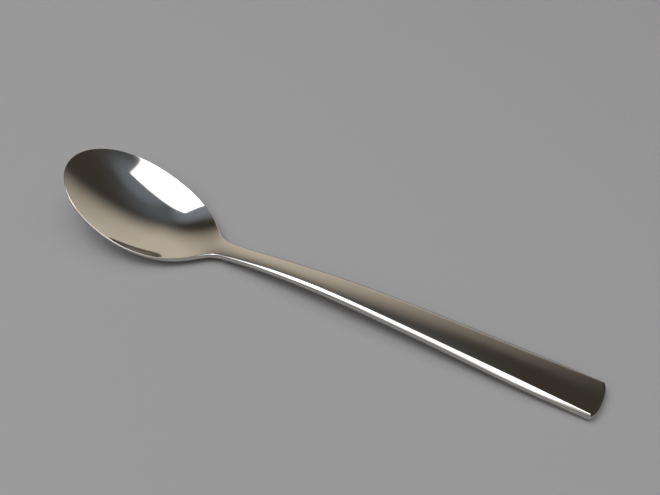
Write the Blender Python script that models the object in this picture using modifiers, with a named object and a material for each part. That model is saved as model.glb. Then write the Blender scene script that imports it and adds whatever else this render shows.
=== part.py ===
"""Tablespoon: one piece of stainless sheet with a dished bowl and a flat, bevelled handle, lying on a table.

Metres, +Z up. The spoon lies along X with the bowl's tip at -X and the end of the handle at +X.
"""

import math

import bmesh
import bpy
import numpy as np
from mathutils import Matrix, Vector

# Plan, measured along the spoon from the bowl's tip
LENGTH = 0.205
BOWL_WIDTH = 0.0399
BOWL_FRONT = 0.0282  # tip to the widest place of the bowl
TIP_RADIUS = 0.0136
NECK_AT = 0.0607  # tip to the neck
NECK_WIDTH = 0.006
NECK_FILLET = 0.0018  # how far the fillet fills the corner between bowl and handle
SHOULDER_ANGLE = math.radians(55.3)  # between the spoon's middle line and the bowl's side at the neck
END_WIDTH = 0.0177
END_BULGE = 0.0011  # how far the middle of the end stands past its corners
END_CORNER = 0.0025
TAPER = 1.14  # power by which the handle widens; 1 gives straight sides
CORNER_POWER = 4  # 2 gives a half-round end, more gives a squarer one

# Side view: heights of the upper edge over the table
TIP_HEIGHT = 0.0217
TIP_ANGLE = math.radians(20.7)  # between the rim and the table at the tip
NECK_HEIGHT = 0.0038
RISE_HEIGHT = 0.0056  # where the handle has left the neck
RISE_AT = 0.0766
END_RUN = 0.03  # the straight last stretch of the handle
END_DROP = 0.0019  # what the straight stretch falls

# Bowl and thickness
BOWL_DEPTH = 0.00575  # below the rim, at the widest place
RUN_IN = 1.6  # power by which the bowl's floor rises into the neck; more is later
BOWL_WALL = 0.0016
RIM_EDGE = 0.0011
NECK_THICK = 0.0028
RISE_THICK = 0.0027
END_THICK = 0.0029

# Edges: a bevelled band runs round the whole outline
RIM_BAND = 0.00045
NECK_BAND = 0.001
END_BAND = 0.0019
BAND_FALL = math.radians(27)
RIM_ROUND = 0.00025
EDGE_ROUND = 0.0007
CROWN_RADIUS = 0.055  # of the handle's upper face, across

# Mesh
COLUMNS = 18
FRONT_ROWS = 12
BACK_ROWS = 26
HANDLE_ROWS = 20
END_ROWS = 4
ROUND_STEPS = 3


def clear_scene():
    for old in list(bpy.data.objects):
        bpy.data.objects.remove(old, do_unlink=True)


def between(x, left, right):
    """Height at x on the cubic from one (x, height, slope) to the next."""
    span = right[0] - left[0]
    t = (x - left[0]) / span
    start = (2 * t**3 - 3 * t**2 + 1) * left[1] + (t**3 - 2 * t**2 + t) * span * left[2]
    return start + (3 * t**2 - 2 * t**3) * right[1] + (t**3 - t**2) * span * right[2]


def along(x, knots):
    for left, right in zip(knots, knots[1:]):
        if x <= right[0]:
            return between(x, left, right)
    return between(x, knots[-2], knots[-1])


def smooth_knots(points, first, last):
    """Adds to each (x, height) the slope that lets the cubics meet without a break in their bend."""
    spans = [b[0] - a[0] for a, b in zip(points, points[1:])]
    climbs = [(b[1] - a[1]) / s for a, b, s in zip(points, points[1:], spans)]
    system = np.eye(len(points))
    aims = np.array([first] + [0] * (len(points) - 2) + [last], float)
    for i in range(1, len(points) - 1):
        before, after = spans[i - 1], spans[i]
        system[i, i - 1 : i + 2] = after, 2 * (before + after), before
        aims[i] = 3 * (after * climbs[i - 1] + before * climbs[i])
    return [(x, z, slope) for (x, z), slope in zip(points, np.linalg.solve(system, aims))]


def side_view():
    fall = -END_DROP / END_RUN
    points = [
        (0, TIP_HEIGHT),
        (NECK_AT, NECK_HEIGHT),
        (RISE_AT, RISE_HEIGHT),
        (LENGTH - END_RUN, END_THICK + END_DROP),
    ]
    return smooth_knots(points, -math.tan(TIP_ANGLE), fall) + [(LENGTH, END_THICK, fall)]


def bowl_weights():
    """Weights of sqrt(t) * (w0 + w1 t + ... + w4 t^4), the bowl's side in plan, t from tip to neck."""
    reach = NECK_AT - RIM_BAND
    widest = (BOWL_FRONT - RIM_BAND) / reach
    powers = np.arange(5)
    half = powers + 0.5
    rules = [powers == 0, widest**half, half * widest ** (half - 1), half**0, half]
    aims = [
        math.sqrt(2 * TIP_RADIUS * reach),
        BOWL_WIDTH / 2 - RIM_BAND,
        0,
        NECK_WIDTH / 2 - NECK_BAND,
        -math.tan(SHOULDER_ANGLE) * reach,
    ]
    return np.linalg.solve(np.array(rules, float), np.array(aims))


SIDE_VIEW = side_view()
BOWL_WEIGHTS = bowl_weights()


def edge_height(x):
    return along(x, SIDE_VIEW)


def handle_thickness(x):
    knots = [
        (NECK_AT, NECK_THICK, 0),
        (RISE_AT, RISE_THICK, 0),
        (LENGTH - END_RUN, END_THICK, 0),
        (LENGTH, END_THICK, 0),
    ]
    return along(max(x, NECK_AT), knots)


def handle_share(x):
    """0 at the neck and 1 at the end of the handle."""
    return min(max((x - NECK_AT) / (LENGTH - NECK_AT), 0), 1)


def handle_band(x):
    return NECK_BAND + (END_BAND - NECK_BAND) * handle_share(x)


def neck_share(x):
    """0 as far as the widest place of the bowl, 1 from the neck on."""
    t = min(max((x - BOWL_FRONT) / (NECK_AT - BOWL_FRONT), 0), 1)
    return t**3 * (10 - 15 * t + 6 * t**2)


def handle_half(x):
    """Half width of the handle's upper face, inside its band, growing from nothing under the bowl."""
    half = NECK_WIDTH / 2 + (END_WIDTH - NECK_WIDTH) / 2 * handle_share(x) ** TAPER
    return (half - handle_band(x)) * neck_share(x)


def bowl_half(x):
    """Half width of the bowl alone, inside its band, carried straight on past the neck."""
    t = (x - RIM_BAND) / (NECK_AT - RIM_BAND)
    if t > 1:
        return sum(BOWL_WEIGHTS) - (x - NECK_AT) * math.tan(SHOULDER_ANGLE)
    t = max(t, 0)
    return math.sqrt(t) * sum(w * t**k for k, w in enumerate(BOWL_WEIGHTS))


def face_half(x):
    """Half width inside the band: bowl and handle, with a fillet where they meet."""
    bowl, handle = bowl_half(x), handle_half(x)
    return (bowl + handle) / 2 + math.hypot((bowl - handle) / 2, NECK_FILLET * neck_share(x))


def dish(x):
    """Depth of the bowl on the middle line as a share of its depth at the widest place."""
    widest = BOWL_WIDTH / 2 - RIM_BAND
    share = (face_half(x) ** 2 - handle_half(x) ** 2) / widest**2
    return share ** (1 + (RUN_IN - 1) * neck_share(x))


def mixed(x, bowl, handle):
    """The bowl's value as far as its widest place, changing to the handle's through the neck."""
    share = dish(x) if x > BOWL_FRONT else 1
    return bowl * share + handle * (1 - share)


def band(x):
    return mixed(x, RIM_BAND, handle_band(x))


def middle(x, y):
    """1 on the middle line, 0 where the band begins."""
    half = face_half(x)
    return max(1 - (y / half) ** 2, 0) if half else 0


def floor_height(x, y):
    return edge_height(x) - BOWL_DEPTH * dish(x) * middle(x, y)


def top_height(x, y):
    crown = mixed(x, 0, handle_half(x) ** 2 / (2 * CROWN_RADIUS))
    return floor_height(x, y) + crown * middle(x, y)


def bottom_height(x, y):
    """The bowl's wall thickens from its rim to the middle; the handle's underside is flat across."""
    rim = RIM_EDGE + RIM_BAND * 4 * BOWL_DEPTH / BOWL_WIDTH
    wall = rim + (BOWL_WALL - rim) * dish(x) * middle(x, y)
    return floor_height(x, y) - mixed(x, wall, handle_thickness(x))


def front_point(along_cap, across):
    """Rounds a square patch into the front of the bowl."""
    ahead = along_cap * math.sqrt(1 - across**2 / 2)
    aside = across * math.sqrt(1 - along_cap**2 / 2)
    x = BOWL_FRONT - (BOWL_FRONT - RIM_BAND) * ahead
    return x, face_half(x) * aside / math.sqrt(max(1 - ahead**2, 1e-12))


def squared(a, b):
    return a * (1 - abs(b) ** CORNER_POWER / 2) ** (1 / CORNER_POWER)


def end_point(along_cap, across):
    """Turns the end of the handle into a shallow arc with small round corners."""
    start = LENGTH - END_BAND - END_CORNER
    side = squared(across, along_cap)
    x = start + END_CORNER * squared(along_cap, across)
    return x - END_BULGE * along_cap * side**2, face_half(x) * side


def plan_point(row, across):
    if row < FRONT_ROWS:
        return front_point(1 - row / FRONT_ROWS, across)
    row -= FRONT_ROWS
    neck_end = NECK_AT + NECK_WIDTH
    cap_start = LENGTH - END_BAND - END_CORNER
    if row <= BACK_ROWS:
        x = BOWL_FRONT + (neck_end - BOWL_FRONT) * row / BACK_ROWS
        return x, face_half(x) * across
    row -= BACK_ROWS
    if row <= HANDLE_ROWS:
        x = neck_end + (cap_start - neck_end) * row / HANDLE_ROWS
        return x, face_half(x) * across
    return end_point((row - HANDLE_ROWS) / END_ROWS, across)


def draw_plan(bm):
    """The upper face laid flat, without its band."""
    rows = FRONT_ROWS + BACK_ROWS + HANDLE_ROWS + END_ROWS
    bmesh.ops.create_grid(bm, x_segments=rows, y_segments=COLUMNS, size=1)
    for v in bm.verts:
        row = round((v.co.x + 1) / 2 * rows)
        x, y = plan_point(row, v.co.y)
        v.co = (x, y, 0)


def outward(vert):
    """Direction out of the outline, in plan, at a vertex on the edge of the sheet."""
    ends = [e.other_vert(vert).co for e in vert.link_edges if e.is_boundary]
    run = (ends[1] - ends[0]).normalized()
    way = Vector((run.y, -run.x, 0))
    faces = vert.link_faces
    inner = sum((f.calc_center_median() for f in faces), Vector()) / len(faces)
    return way if way.dot(vert.co - inner) > 0 else -way


def add_band(bm):
    """Draws the sheet's edge out by the width of the band and returns the outer vertices."""
    rim = [e for e in bm.edges if e.is_boundary]
    ways = {tuple(v.co): outward(v) for e in rim for v in e.verts}
    drawn = bmesh.ops.extrude_edge_only(bm, edges=rim)["geom"]
    outer = [g for g in drawn if isinstance(g, bmesh.types.BMVert)]
    for v in outer:
        v.co = v.co + ways[tuple(v.co)] * band(v.co.x)
    return outer


def thicken(bm, outer):
    """Gives the flat sheet its lower side, lifts both to their heights and returns the two outer rings."""
    upper = set(bm.verts) - set(outer)
    ring = {tuple(v.co) for v in outer}
    made = bmesh.ops.extrude_face_region(bm, geom=list(bm.faces), use_keep_orig=True)["geom"]
    lower = [g for g in made if isinstance(g, bmesh.types.BMVert)]
    lower_outer = [v for v in lower if tuple(v.co) in ring]
    for v in upper:
        v.co.z = top_height(v.co.x, v.co.y)
    for v in set(lower) - set(lower_outer):
        v.co.z = bottom_height(v.co.x, v.co.y)
    for v in outer:
        v.co.z = edge_height(v.co.x) - band(v.co.x) * math.tan(BAND_FALL)
    for v in lower_outer:
        v.co.z = edge_height(v.co.x) - mixed(v.co.x, RIM_EDGE, handle_thickness(v.co.x))
    bmesh.ops.recalc_face_normals(bm, faces=list(bm.faces))
    return outer, lower_outer


def mark_rounds(bm, rings):
    """Weights the two edges of the side wall for the bevel that rounds them."""
    weight = bm.edges.layers.float.new("bevel_weight_edge")
    for ring in map(set, rings):
        for e in bm.edges:
            if ring.issuperset(e.verts):
                x = (e.verts[0].co.x + e.verts[1].co.x) / 2
                wall = mixed(x, RIM_EDGE, handle_thickness(x)) - band(x) * math.tan(BAND_FALL)
                e[weight] = min(mixed(x, RIM_ROUND, EDGE_ROUND), wall * 0.4) / EDGE_ROUND


def settle(bm):
    """Lays the spoon on the table, on the bowl and the end of the handle, centred on the origin."""
    for _ in range(3):
        bowl = min((v.co for v in bm.verts if v.co.x < NECK_AT), key=lambda c: c.z).copy()
        end = min((v.co for v in bm.verts if v.co.x > LENGTH - END_RUN), key=lambda c: c.z).copy()
        tilt = math.atan2(end.z - bowl.z, end.x - bowl.x)
        bm.transform(Matrix.Rotation(tilt, 4, "Y"))
    low = [min(v.co[k] for v in bm.verts) for k in range(3)]
    high = max(v.co.x for v in bm.verts)
    bm.transform(Matrix.Translation((-(low[0] + high) / 2, 0, -low[2])))


def steel():
    material = bpy.data.materials.new("polished_steel")
    material.use_nodes = True
    shader = material.node_tree.nodes["Principled BSDF"]
    shader.inputs["Base Color"].default_value = (0.64, 0.61, 0.57, 1)
    shader.inputs["Metallic"].default_value = 1
    shader.inputs["Roughness"].default_value = 0.14
    return material


def make_spoon():
    bm = bmesh.new()
    draw_plan(bm)
    rings = thicken(bm, add_band(bm))
    mark_rounds(bm, rings)
    settle(bm)
    mesh = bpy.data.meshes.new("tablespoon")
    bm.to_mesh(mesh)
    bm.free()
    mesh.materials.append(steel())
    mesh.shade_smooth()
    spoon = bpy.data.objects.new("tablespoon", mesh)
    rounding = spoon.modifiers.new("rounded_edges", "BEVEL")
    rounding.limit_method = "WEIGHT"
    rounding.width = EDGE_ROUND
    rounding.segments = ROUND_STEPS
    rounding.use_clamp_overlap = False
    return spoon


clear_scene()
parts = bpy.data.collections.new("tablespoon")
bpy.context.scene.collection.children.link(parts)
parts.objects.link(make_spoon())
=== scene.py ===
import math

import bmesh
import bpy
import numpy as np
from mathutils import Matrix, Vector


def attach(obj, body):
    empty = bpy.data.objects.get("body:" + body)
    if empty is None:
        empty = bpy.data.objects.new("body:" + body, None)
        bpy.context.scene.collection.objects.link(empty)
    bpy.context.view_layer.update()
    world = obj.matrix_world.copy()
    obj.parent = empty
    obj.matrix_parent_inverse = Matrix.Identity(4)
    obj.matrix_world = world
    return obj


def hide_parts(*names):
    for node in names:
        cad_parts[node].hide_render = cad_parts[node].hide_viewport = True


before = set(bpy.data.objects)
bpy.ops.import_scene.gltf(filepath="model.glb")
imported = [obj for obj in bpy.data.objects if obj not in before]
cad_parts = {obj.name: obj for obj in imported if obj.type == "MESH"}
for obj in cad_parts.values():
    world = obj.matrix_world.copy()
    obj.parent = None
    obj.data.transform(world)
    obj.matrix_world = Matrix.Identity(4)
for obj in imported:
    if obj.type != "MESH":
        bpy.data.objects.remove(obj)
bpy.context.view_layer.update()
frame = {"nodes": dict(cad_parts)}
print("frame loaded:", ", ".join(frame["nodes"]))


photoView = {
    "place": (0.1058, -0.1875, 0.2378),
    "aim": (-0.0059, 0.0224, 0.0),  # the table point in the middle of the picture
    "lens": 49.73,
    "sensor": 36.0,
    "nearest": 0.01,
}


def addCamera():
    place, aim = Vector(photoView["place"]), Vector(photoView["aim"])
    bpy.ops.object.camera_add(location=place)
    camera = bpy.context.object
    camera.name = "photoCamera"
    camera.rotation_euler = (aim - place).to_track_quat("-Z", "Y").to_euler()
    camera.data.lens = photoView["lens"]
    camera.data.sensor_width = photoView["sensor"]
    camera.data.sensor_fit = "HORIZONTAL"
    camera.data.clip_start = photoView["nearest"]
    bpy.context.scene.camera = camera
    print("camera set")


# the spoon's sizes in metres; places run along the spoon from the bowl's tip
spoonSizes = {
    "length": 0.205,
    "bowlWidth": 0.0399,
    "bowlFront": 0.0282,  # tip to the widest place
    "tipRadius": 0.0136,
    "neckAt": 0.0607,
    "neckFillet": 0.0028,
    "shoulderAngle": math.radians(55.3),
    # half widths of the handle from the neck to the end, and widths of the bevelled band in them
    "handlePlaces": (0.0607, 0.08, 0.105, 0.135, 0.157, 0.18, 0.205),
    "handleHalves": (0.0029, 0.0038, 0.00502, 0.00653, 0.00736, 0.00824, 0.00785),
    "handleBands": (0.0005, 0.00143, 0.00185, 0.0021, 0.00222, 0.00245, 0.00095),
    "halfTurns": (0.03, -0.05),  # growth of the half width at the neck and at the end
    "bandTurns": (0.055, -0.09),  # and of the band
    "endBulge": 0.0009,
    "endCorner": 0.0012,
    "cornerPower": 5,
    "tipHeight": 0.0217,
    "tipAngle": math.radians(20.7),
    "lowAt": 0.056,  # lowest place of the upper edge
    "lowHeight": 0.0037,
    "riseHeight": 0.0056,
    "riseAt": 0.0766,
    "endRun": 0.03,  # straight last stretch
    "endDrop": 0.0019,
    "bowlDepth": 0.00575,
    "bowlPower": 2.1,
    "runIn": 1.4,  # over 1, the bowl's floor meets the neck more gently
    "bowlWall": 0.0016,
    "rimEdge": 0.001,
    "neckThick": 0.0021,
    "riseThick": 0.0026,
    "endThick": 0.0029,
    "tipBand": 0.0003,
    "sideBand": 0.00042,  # at the bowl's widest place
    "bandFall": math.radians(27),
    "endFall": math.radians(35),
    "endFallFrom": 0.187,
    "endSharp": 0.85,  # share of the rounding that is lost at the end
    "undercut": 0.5,  # of the side wall, as a share of the band
    "crownSlope": 0.098,  # of the handle's face at its edges
    "crownPower": 2,
    "rimRound": 0.00035,
    "edgeRound": 0.0013,
    "rimUnder": 0.0006,
    "rimInset": 0.0008,
    "underInset": 0.0012,
    "rimCrease": 0.00006,
    "handleCrease": 0.0004,
    # most that a rounding takes of the side wall, of the band and of the ledge under it
    "upperOfWall": 0.66,
    "upperOfBand": (0.65, 0.9),  # along the spoon, and at the handle's end
    "lowerOfWall": 0.32,
    "lowerOfLedge": 0.6,
    "creaseOfBand": 0.3,
    "columns": 24,
    "rows": (14, 30, 26, 3),  # front of the bowl, back of the bowl, handle, end
    "roundSteps": 3,
    "smoothLevels": 2,
}


def onCubics(x, knots):
    for left, right in zip(knots, knots[1:]):
        if x <= right[0] or right is knots[-1]:
            break
    span = right[0] - left[0]
    t = (x - left[0]) / span
    start = (2 * t**3 - 3 * t**2 + 1) * left[1] + (t**3 - 2 * t**2 + t) * span * left[2]
    return start + (3 * t**2 - 2 * t**3) * right[1] + (t**3 - t**2) * span * right[2]


def smoothKnots(points, first, last):
    # slopes that let the cubics meet with no break in their bend
    spans = [b[0] - a[0] for a, b in zip(points, points[1:])]
    climbs = [(b[1] - a[1]) / s for a, b, s in zip(points, points[1:], spans)]
    system = np.eye(len(points))
    aims = np.array([first] + [0] * (len(points) - 2) + [last], float)
    for i in range(1, len(points) - 1):
        before, after = spans[i - 1], spans[i]
        system[i, i - 1 : i + 2] = after, 2 * (before + after), before
        aims[i] = 3 * (after * climbs[i - 1] + before * climbs[i])
    return [(x, z, slope) for (x, z), slope in zip(points, np.linalg.solve(system, aims))]


def sideView(s):
    fall = -s["endDrop"] / s["endRun"]
    points = [
        (0, s["tipHeight"]),
        (s["lowAt"], s["lowHeight"]),
        (s["riseAt"], s["riseHeight"]),
        (s["length"] - s["endRun"], s["endThick"] + s["endDrop"]),
    ]
    knots = smoothKnots(points, -math.tan(s["tipAngle"]), fall)
    return knots + [(s["length"], s["endThick"], fall)]


def bowlWeights(s):
    # the bowl's side in plan is sqrt(t) times a quartic in t, from tip to neck
    reach = s["neckAt"] - s["tipBand"]
    widest = (s["bowlFront"] - s["tipBand"]) / reach
    powers = np.arange(5)
    half = powers + 0.5
    rules = [powers == 0, widest**half, half * widest ** (half - 1), half**0, half]
    aims = [
        math.sqrt(2 * s["tipRadius"] * reach),
        s["bowlWidth"] / 2 - s["sideBand"],
        0,
        s["handleHalves"][0] - s["handleBands"][0],
        -math.tan(s["shoulderAngle"]) * reach,
    ]
    return np.linalg.solve(np.array(rules, float), np.array(aims))


def handleSides(s):
    return smoothKnots(list(zip(s["handlePlaces"], s["handleHalves"])), *s["halfTurns"])


def bandKnots(s):
    rise = (s["handleBands"][0] - s["tipBand"]) / s["neckAt"]
    bowl = [(0, s["tipBand"], 0), (s["bowlFront"], s["sideBand"], rise)]
    return bowl + smoothKnots(list(zip(s["handlePlaces"], s["handleBands"])), *s["bandTurns"])


profile = sideView(spoonSizes)
weights = bowlWeights(spoonSizes)
sides = handleSides(spoonSizes)
bandWidths = bandKnots(spoonSizes)


def edgeHeight(x):
    return onCubics(x, profile)


def handleThick(x):
    s = spoonSizes
    knots = [
        (s["neckAt"], s["neckThick"], 0),
        (s["riseAt"], s["riseThick"], 0),
        (s["length"] - s["endRun"], s["endThick"], 0),
        (s["length"], s["endThick"], 0),
    ]
    return onCubics(max(x, s["neckAt"]), knots)


def share(x, start, end):
    return min(max((x - start) / (end - start), 0), 1)


def band(x):
    return onCubics(x, bandWidths)


def bandDrop(x, sideways):
    # height that the band loses, steeper on the handle's sides at its end
    s = spoonSizes
    t = share(x, s["endFallFrom"], s["length"])
    steeper = (s["endFall"] - s["bandFall"]) * t**2 * (3 - 2 * t) * sideways**2
    return band(x) * math.tan(s["bandFall"] + steeper)


def neckShare(x):
    # from nothing at the bowl's widest place to all at the neck
    t = share(x, spoonSizes["bowlFront"], spoonSizes["neckAt"])
    return t**3 * (10 - 15 * t + 6 * t**2)


def handleHalf(x):
    # the upper face inside its band, growing from nothing under the bowl
    behind = max(x, spoonSizes["neckAt"])
    return (onCubics(behind, sides) - band(behind)) * neckShare(x)


def bowlHalf(x):
    s = spoonSizes
    t = (x - s["tipBand"]) / (s["neckAt"] - s["tipBand"])
    if t > 1:
        return sum(weights) - (x - s["neckAt"]) * math.tan(s["shoulderAngle"])
    t = max(t, 0)
    return math.sqrt(t) * sum(w * t**k for k, w in enumerate(weights))


def faceHalf(x):
    # the wider of the two, with a fillet where they cross
    bowl, handle = bowlHalf(x), handleHalf(x)
    fillet = spoonSizes["neckFillet"] * neckShare(x)
    return (bowl + handle) / 2 + math.hypot((bowl - handle) / 2, fillet)


def dish(x):
    # depth of the bowl as a share of its most
    s = spoonSizes
    widest = s["bowlWidth"] / 2 - s["sideBand"]
    part = (faceHalf(x) ** 2 - handleHalf(x) ** 2) / widest**2
    return part ** (1 + (s["runIn"] - 1) * neckShare(x))


def mixed(x, bowl, handle):
    # the bowl's value runs into the handle's as the bowl grows shallow
    part = dish(x) if x > spoonSizes["bowlFront"] else 1
    return bowl * part + handle * (1 - part)


def middle(x, y):
    half = faceHalf(x)
    power = mixed(x, spoonSizes["bowlPower"], spoonSizes["crownPower"])
    return max(1 - abs(y / half) ** power, 0) if half else 0


def floorHeight(x, y):
    return edgeHeight(x) - spoonSizes["bowlDepth"] * dish(x) * middle(x, y)


def topHeight(x, y):
    crown = mixed(x, 0, handleHalf(x) * spoonSizes["crownSlope"] / 2)
    return floorHeight(x, y) + crown * middle(x, y)


def bottomHeight(x, y):
    s = spoonSizes
    slope = 4 * s["bowlDepth"] / s["bowlWidth"]  # of the bowl at its rim
    rim = s["rimEdge"] + band(x) * slope
    wall = rim + (s["bowlWall"] - rim) * dish(x) * middle(x, y)
    return floorHeight(x, y) - mixed(x, wall, handleThick(x))


def underPoint(x, y):
    # the underside's flat ends further in than the face, which leaves room for its round edge
    s = spoonSizes
    inset = mixed(x, s["rimInset"], s["underInset"])
    back = inset * share(x, s["length"] - s["endRun"], s["length"] - s["handleBands"][-1])
    return x - back, y * (1 - inset / max(faceHalf(x), s["neckFillet"]))


tinyGap = 1e-12  # keeps the tip from a division by nothing


def frontPoint(ahead, across):
    # rounds a square patch into the front of the bowl
    s = spoonSizes
    forward = ahead * math.sqrt(1 - across**2 / 2)
    aside = across * math.sqrt(1 - ahead**2 / 2)
    x = s["bowlFront"] - (s["bowlFront"] - s["tipBand"]) * forward
    return x, faceHalf(x) * aside / math.sqrt(max(1 - forward**2, tinyGap))


def squared(a, b):
    power = spoonSizes["cornerPower"]
    return a * (1 - abs(b) ** power / 2) ** (1 / power)


def endPoint(ahead, across):
    # a shallow arc with small round corners
    s = spoonSizes
    side = squared(across, ahead)
    x = s["length"] - s["handleBands"][-1] - s["endCorner"] * (1 - squared(ahead, across))
    return x - s["endBulge"] * ahead * side**2, faceHalf(x) * side


def planPoint(row, across):
    s = spoonSizes
    front, back, handle, end = s["rows"]
    neckEnd = s["neckAt"] + 2 * s["handleHalves"][0]  # one width behind the neck
    capStart = s["length"] - s["handleBands"][-1] - s["endCorner"]
    if row < front:
        return frontPoint(1 - row / front, across)
    if row <= front + back:
        x = s["bowlFront"] + (neckEnd - s["bowlFront"]) * (row - front) / back
        return x, faceHalf(x) * across
    if row <= front + back + handle:
        x = neckEnd + (capStart - neckEnd) * (row - front - back) / handle
        return x, faceHalf(x) * across
    return endPoint((row - front - back - handle) / end, across)


def drawFace():
    # the upper face inside its band, laid flat
    s = spoonSizes
    rows, columns = sum(s["rows"]), s["columns"]
    bpy.ops.object.select_all(action="DESELECT")
    bpy.ops.mesh.primitive_grid_add(x_subdivisions=rows, y_subdivisions=columns, size=2)
    piece = bpy.context.object
    piece.name = piece.data.name = "spoonBody"
    for v in piece.data.vertices:
        row = round((v.co.x + 1) / 2 * rows)
        v.co = *planPoint(row, v.co.y), 0
    return piece


def outwardWays(mesh):
    # direction out of the outline, in plan, at each vertex on the sheet's edge
    ways = {}
    for v in mesh.verts:
        ends = [e.other_vert(v).co for e in v.link_edges if e.is_boundary]
        if ends:
            run = (ends[1] - ends[0]).normalized()
            way = Vector((run.y, -run.x, 0))
            centres = [f.calc_center_median() for f in v.link_faces]
            inner = sum(centres, Vector()) / len(centres)
            ways[v.index] = way if way.dot(v.co - inner) > 0 else -way
    return ways


def drawBand(piece):
    # the sheet's edge is extruded outwards by the width of the band
    bpy.ops.object.mode_set(mode="EDIT")
    bpy.ops.mesh.select_mode(type="EDGE")
    bpy.ops.mesh.select_all(action="DESELECT")
    mesh = bmesh.from_edit_mesh(piece.data)
    ways = outwardWays(mesh)
    for e in mesh.edges:
        if e.is_boundary:
            e.select_set(True)
    bpy.ops.mesh.extrude_edges_move()
    mesh = bmesh.from_edit_mesh(piece.data)
    mesh.verts.index_update()
    outer = {}
    for v in [v for v in mesh.verts if v.select]:
        start = next(e.other_vert(v) for e in v.link_edges if not e.other_vert(v).select)
        way = ways[start.index]
        v.co = v.co + way * band(start.co.x)
        outer[tuple(v.co)] = way
    bmesh.update_edit_mesh(piece.data)
    return outer


def thicken(piece, outer):
    # the whole sheet is extruded for the underside, then both sides get their heights
    s = spoonSizes
    bpy.ops.mesh.select_mode(type="FACE")
    bpy.ops.mesh.select_all(action="SELECT")
    bpy.ops.mesh.extrude_region_move()
    mesh = bmesh.from_edit_mesh(piece.data)
    upper = {v for v in mesh.verts if not v.select}
    outline = {v for v in mesh.verts if tuple(v.co) in outer}
    for v in mesh.verts:
        x, y = v.co.x, v.co.y
        if v in upper and v in outline:
            v.co.z = edgeHeight(x) - bandDrop(x, outer[tuple(v.co)].y)
        elif v in upper:
            v.co.z = topHeight(x, y)
        elif v in outline:
            v.co = v.co - outer[tuple(v.co)] * band(x) * s["undercut"]
            v.co.z = edgeHeight(x) - mixed(x, s["rimEdge"], handleThick(x))
        else:
            x, y = underPoint(x, y)
            v.co = x, y, bottomHeight(x, y)
    weighRounds(mesh, upper, outline)
    bpy.ops.mesh.select_all(action="SELECT")
    bpy.ops.mesh.normals_make_consistent(inside=False)
    bmesh.update_edit_mesh(piece.data)


def weighRounds(mesh, upper, outline):
    # bevel weights: the side wall's two edges, and the crease between face and band
    s = spoonSizes
    layer = mesh.edges.layers.float.new("bevel_weight_edge")
    crease = {e.other_vert(v) for v in outline & upper for e in v.link_edges} & upper - outline
    alongBand, endBand = s["upperOfBand"]
    for e in mesh.edges:
        x = (e.verts[0].co.x + e.verts[1].co.x) / 2
        ends = set(e.verts)
        wall = mixed(x, s["rimEdge"], handleThick(x)) - bandDrop(x, 1)
        late = share(x, s["endFallFrom"], s["length"])
        fade = 1 - s["endSharp"] * late
        size = 0
        if ends <= outline & upper:
            most = band(x) * (alongBand + (endBand - alongBand) * late)
            size = min(mixed(x, s["rimRound"], s["edgeRound"]), wall * s["upperOfWall"], most)
            run = e.verts[0].co - e.verts[1].co
            if late and abs(run.y) > abs(run.x):  # across the handle's end
                size *= fade
        elif ends <= outline - upper:
            ledge = band(x) * (1 - s["undercut"]) + mixed(x, s["rimInset"], s["underInset"])
            most = min(wall * s["lowerOfWall"], ledge * s["lowerOfLedge"])
            size = min(mixed(x, s["rimUnder"], s["edgeRound"]), most)
        elif ends <= crease:
            most = band(x) * s["creaseOfBand"]
            size = min(mixed(x, s["rimCrease"], s["handleCrease"]), most) * fade
        e[layer] = size / s["edgeRound"]


def finishSpoon(piece):
    s = spoonSizes
    rounding = piece.modifiers.new("rounding", "BEVEL")
    rounding.limit_method = "WEIGHT"
    rounding.width = s["edgeRound"]
    rounding.segments = s["roundSteps"]
    rounding.use_clamp_overlap = False
    smoothing = piece.modifiers.new("smoothing", "SUBSURF")
    smoothing.levels = smoothing.render_levels = s["smoothLevels"]
    for step in ("rounding", "smoothing"):
        bpy.ops.object.modifier_apply(modifier=step)
    bpy.ops.object.shade_smooth()


def layDown(piece):
    # onto the table, in the middle of the frame
    places = [v.co for v in piece.data.vertices]
    low, high = min(p.x for p in places), max(p.x for p in places)
    lift = -min(p.z for p in places)
    bpy.ops.object.mode_set(mode="EDIT")
    bpy.ops.mesh.select_all(action="SELECT")
    bpy.ops.transform.translate(value=(-(low + high) / 2, 0, lift))
    bpy.ops.object.mode_set(mode="OBJECT")


def makeSpoon():
    piece = drawFace()
    outer = drawBand(piece)
    thicken(piece, outer)
    bpy.ops.object.mode_set(mode="OBJECT")
    finishSpoon(piece)
    layDown(piece)
    piece.data.materials.append(polishedSteel())
    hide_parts("tablespoon")
    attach(piece, "root")
    print("spoon made:", len(piece.data.polygons), "faces")


steelFinish = {
    "dull": (0.60, 0.58, 0.55, 1),
    "bright": (0.66, 0.64, 0.61, 1),
    "patchScale": 90.0,
    "patchDetail": 4.0,
    "smoothest": 0.045,
    "roughest": 0.075,
    "lineScale": (60.0, 2600.0, 2600.0),  # polishing lines run along the spoon
    "lineStrength": 0.004,
    "lineDepth": 0.0001,
}


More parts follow.
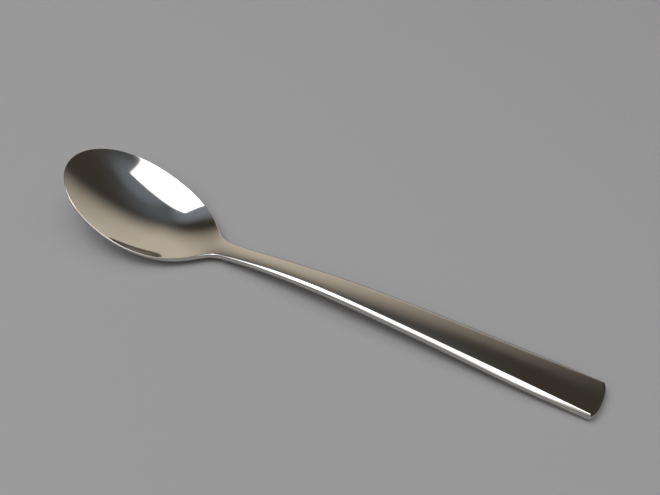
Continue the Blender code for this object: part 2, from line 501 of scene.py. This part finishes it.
def polishedSteel():
    f = steelFinish
    material = bpy.data.materials.new("polishedSteel")
    material.use_nodes = True
    nodes, links = material.node_tree.nodes, material.node_tree.links
    shader = nodes["Principled BSDF"]
    shader.inputs["Metallic"].default_value = 1.0
    place = nodes.new("ShaderNodeTexCoord")
    patches = nodes.new("ShaderNodeTexNoise")
    patches.inputs["Scale"].default_value = f["patchScale"]
    patches.inputs["Detail"].default_value = f["patchDetail"]
    links.new(place.outputs["Object"], patches.inputs["Vector"])
    tint = nodes.new("ShaderNodeValToRGB")
    tint.color_ramp.elements[0].color = f["dull"]
    tint.color_ramp.elements[1].color = f["bright"]
    links.new(patches.outputs["Fac"], tint.inputs["Fac"])
    links.new(tint.outputs["Color"], shader.inputs["Base Color"])
    gloss = nodes.new("ShaderNodeMapRange")
    gloss.inputs["To Min"].default_value = f["smoothest"]
    gloss.inputs["To Max"].default_value = f["roughest"]
    links.new(patches.outputs["Fac"], gloss.inputs["Value"])
    links.new(gloss.outputs["Result"], shader.inputs["Roughness"])
    stretch = nodes.new("ShaderNodeMapping")
    stretch.inputs["Scale"].default_value = f["lineScale"]
    links.new(place.outputs["Object"], stretch.inputs["Vector"])
    lines = nodes.new("ShaderNodeTexNoise")
    lines.inputs["Scale"].default_value = 1.0  # the mapping has the scale
    links.new(stretch.outputs["Vector"], lines.inputs["Vector"])
    bump = nodes.new("ShaderNodeBump")
    bump.inputs["Strength"].default_value = f["lineStrength"]
    bump.inputs["Distance"].default_value = f["lineDepth"]
    links.new(lines.outputs["Fac"], bump.inputs["Height"])
    links.new(bump.outputs["Normal"], shader.inputs["Normal"])
    return material


tableTop = {
    "size": 6.0,
    "colour": (0.312, 0.309, 0.314, 1),
    "roughness": 0.8,
    "shine": 0.0,
}


def addTable():
    bpy.ops.object.select_all(action="DESELECT")
    bpy.ops.mesh.primitive_plane_add(size=tableTop["size"])
    table = bpy.context.object
    table.name = "tableTop"
    material = bpy.data.materials.new("paleGrey")
    material.use_nodes = True
    shader = material.node_tree.nodes["Principled BSDF"]
    shader.inputs["Base Color"].default_value = tableTop["colour"]
    shader.inputs["Roughness"].default_value = tableTop["roughness"]
    shader.inputs["Specular IOR Level"].default_value = tableTop["shine"]
    table.data.materials.append(material)
    print("table laid")


# soft boxes over the table, facing down and turned in plan
# keyBox and fillBox light the table and stay out of the steel
softBoxes = {
    "mainBox": {
        "middle": (-0.082, -0.17, 1.0),
        "size": (0.783, 0.5),
        "turn": math.radians(-5),
        "radiance": 1.9,
        "inSteel": True,
    },
    "keyBox": {
        "middle": (-0.082, -0.17, 1.0),
        "size": (0.783, 0.5),
        "turn": math.radians(-5),
        "radiance": 1.3,
        "inSteel": False,
    },
    "sideBox": {
        "middle": (-0.593, -0.342, 1.005),
        "size": (0.85, 0.42),
        "turn": math.radians(48.6),
        "radiance": 2.0,
        "inSteel": True,
    },
    "fillBox": {
        "middle": (0.0, -0.98, 3.2),
        "size": (8.0, 7.0),
        "turn": 0.0,
        "radiance": 0.78,
        "inSteel": False,
    },
}


def addSoftBox(name, box):
    width, depth = box["size"]
    bpy.ops.object.light_add(type="AREA", location=box["middle"], rotation=(0, 0, box["turn"]))
    lamp = bpy.context.object
    lamp.name = name
    lamp.data.shape = "RECTANGLE"
    lamp.data.size, lamp.data.size_y = width, depth
    lamp.data.energy = box["radiance"] * math.pi * width * depth  # watts
    lamp.visible_glossy = box["inSteel"]
    print("soft box hung:", name)


# painted reflections: a warm glowing sheet behind the spoon and a dark glowing sheet over its
# handle, the dark one painting shade into the handle's reflection; they show only in the steel
paintedReflectionSheets = {
    # glows warm only in reflections, a painted reflection in the bowl and handle
    "warmPaintedReflection": {
        "place": (-0.1643, 0.309, 0.0),
        "tilt": math.radians(90),
        "turn": math.radians(28),
        "edges": (-0.5, 0.45, 0.0, 0.66),  # left, right, bottom, top
        "colour": (0.69, 0.615, 0.51, 1),
        # fading edges: way across the sheet, where it is gone, where it is full
        "fades": (
            ((0, 1, 0), 0.64, 0.2),
            ((-1, 0.4, 0), 0.39, 0.17),
            ((1, 0, 0), 0.44, -0.05),
        ),
    },
    # glows dark only in reflections over the handle, painted shade in the steel's reflection
    "darkPaintedReflection": {
        "place": (0.0, 0.0, 0.28),
        "tilt": 0.0,
        "turn": 0.0,
        "edges": (0.0, 0.4, 0.04, 0.28),
        "colour": (0.055, 0.049, 0.038, 1),
        "fades": (
            ((1, 0, 0), 0.0, 0.09),
            ((0, 1, 0), 0.05, 0.12),
            ((0, 1, 0), 0.27, 0.2),
        ),
    },
}


def sheetGlow(name, sheet):
    material = bpy.data.materials.new(name)
    material.use_nodes = True
    nodes, links = material.node_tree.nodes, material.node_tree.links
    nodes.remove(nodes["Principled BSDF"])
    place = nodes.new("ShaderNodeTexCoord")
    whole = None
    for way, gone, full in sheet["fades"]:
        along = nodes.new("ShaderNodeVectorMath")
        along.operation = "DOT_PRODUCT"
        along.inputs[1].default_value = way
        links.new(place.outputs["Object"], along.inputs[0])
        fade = nodes.new("ShaderNodeMapRange")
        fade.interpolation_type = "SMOOTHSTEP"
        fade.inputs["From Min"].default_value = gone
        fade.inputs["From Max"].default_value = full
        links.new(along.outputs["Value"], fade.inputs["Value"])
        if whole is None:
            whole = fade.outputs["Result"]
            continue
        both = nodes.new("ShaderNodeMath")
        both.operation = "MULTIPLY"
        links.new(whole, both.inputs[0])
        links.new(fade.outputs["Result"], both.inputs[1])
        whole = both.outputs["Value"]
    glow = nodes.new("ShaderNodeEmission")
    glow.inputs["Color"].default_value = sheet["colour"]
    clear = nodes.new("ShaderNodeBsdfTransparent")
    blend = nodes.new("ShaderNodeMixShader")
    links.new(whole, blend.inputs["Fac"])
    links.new(clear.outputs["BSDF"], blend.inputs[1])
    links.new(glow.outputs["Emission"], blend.inputs[2])
    links.new(blend.outputs["Shader"], nodes["Material Output"].inputs["Surface"])
    return material


def addSheet(name, sheet):
    left, right, bottom, top = sheet["edges"]
    turns = (sheet["tilt"], 0, sheet["turn"])
    bpy.ops.object.select_all(action="DESELECT")
    bpy.ops.mesh.primitive_plane_add(size=2, rotation=turns, location=sheet["place"])
    plane = bpy.context.object
    plane.name = name
    for v in plane.data.vertices:
        v.co = left if v.co.x < 0 else right, bottom if v.co.y < 0 else top, 0
    plane.data.materials.append(sheetGlow(name, sheet))
    plane.visible_camera = plane.visible_diffuse = plane.visible_shadow = False
    print("sheet set up:", name)


# the rest of the room as the steel sees it: azimuth from the camera's view, and climb
room = {
    "turn": math.radians(28),  # of the camera's view, from +Y towards -X
    "dark": (0.055, 0.05, 0.043, 1),
    "ceiling": (0.12, 0.13, 0.145, 1),
    "ceilingFrom": (math.radians(48), math.radians(74)),
    # spill of the soft boxes on the ceiling, left and right
    "spills": (
        {
            "azimuth": math.radians(-70),
            "climb": math.radians(63),
            "full": math.radians(1),
            "gone": math.radians(26),
            "colour": (0.27, 0.295, 0.335, 1),
        },
        {
            "azimuth": math.radians(108),
            "climb": math.radians(76),
            "full": math.radians(2),
            "gone": math.radians(19),
            "colour": (0.2, 0.225, 0.26, 1),
        },
    ),
    # the bright side, behind the camera
    "front": (0.8, 0.79, 0.77, 1),
    "frontLow": (0.2, 0.195, 0.187, 1),
    "frontMiddle": math.radians(-150),
    "frontFrom": (math.radians(68), math.radians(45)),
    "frontClimb": (math.radians(36), math.radians(66)),
    # a glow low on the wall there
    "glow": (0.36, 0.36, 0.365, 1),
    "glowFrom": (math.radians(100), math.radians(70)),
    "glowClimb": (math.radians(28), math.radians(12)),
    # and along the foot of the other walls, but for the dark corner off the handle's end
    "cornerMiddle": math.radians(76),
    "cornerFrom": (math.radians(30), math.radians(50)),
    "footClimb": (math.radians(14), math.radians(6)),
}


def addRoom():
    world = bpy.data.worlds.new("room")
    bpy.context.scene.world = world
    world.use_nodes = True
    nodes, links = world.node_tree.nodes, world.node_tree.links

    def join(value, socket):
        if hasattr(value, "is_linked"):
            links.new(value, socket)
        else:
            socket.default_value = value

    def sums(kind, *values):
        node = nodes.new("ShaderNodeMath")
        node.operation = kind
        for value, socket in zip(values, node.inputs):
            join(value, socket)
        return node.outputs["Value"]

    def rising(value, ends):
        node = nodes.new("ShaderNodeMapRange")
        node.interpolation_type = "SMOOTHSTEP"
        join(value, node.inputs["Value"])
        node.inputs["From Min"].default_value, node.inputs["From Max"].default_value = ends
        return node.outputs["Result"]

    def blend(amount, start, end):
        node = nodes.new("ShaderNodeMix")
        node.data_type = "RGBA"
        join(amount, node.inputs[0])
        join(start, node.inputs[6])
        join(end, node.inputs[7])
        return node.outputs[2]

    place = nodes.new("ShaderNodeTexCoord")
    turned = nodes.new("ShaderNodeMapping")
    turned.inputs["Rotation"].default_value = (0, 0, -room["turn"])
    links.new(place.outputs["Generated"], turned.inputs["Vector"])
    split = nodes.new("ShaderNodeSeparateXYZ")
    links.new(turned.outputs["Vector"], split.inputs["Vector"])
    climb = sums("ARCSINE", split.outputs["Z"])
    azimuth = sums("ARCTAN2", split.outputs["X"], split.outputs["Y"])

    def swing(middle):
        return sums("ABSOLUTE", sums("WRAP", sums("SUBTRACT", azimuth, middle), math.pi, -math.pi))

    colour = blend(rising(climb, room["ceilingFrom"]), room["dark"], room["ceiling"])
    for spill in room["spills"]:
        across, flat = spill["azimuth"], math.cos(spill["climb"])
        way = math.sin(across) * flat, math.cos(across) * flat, math.sin(spill["climb"])
        facing = nodes.new("ShaderNodeVectorMath")
        facing.operation = "DOT_PRODUCT"
        facing.inputs[1].default_value = way
        links.new(turned.outputs["Vector"], facing.inputs[0])
        reach = math.cos(spill["gone"]), math.cos(spill["full"])
        colour = blend(rising(facing.outputs["Value"], reach), colour, spill["colour"])
    behind = swing(room["frontMiddle"])
    front = blend(rising(climb, room["frontClimb"]), room["frontLow"], room["front"])
    colour = blend(rising(behind, room["frontFrom"]), colour, front)
    low = rising(behind, room["glowFrom"]), rising(climb, room["glowClimb"])
    colour = blend(sums("MULTIPLY", *low), colour, room["glow"])
    aside = swing(room["cornerMiddle"])
    foot = rising(aside, room["cornerFrom"]), rising(climb, room["footClimb"])
    colour = blend(sums("MULTIPLY", *foot), colour, room["glow"])
    links.new(colour, nodes["Background"].inputs["Color"])
    print("room set")


addCamera()
addTable()
for name, box in softBoxes.items():
    addSoftBox(name, box)
for name, sheet in paintedReflectionSheets.items():
    addSheet(name, sheet)
addRoom()
makeSpoon()
bpy.context.scene.view_settings.view_transform = "Standard"
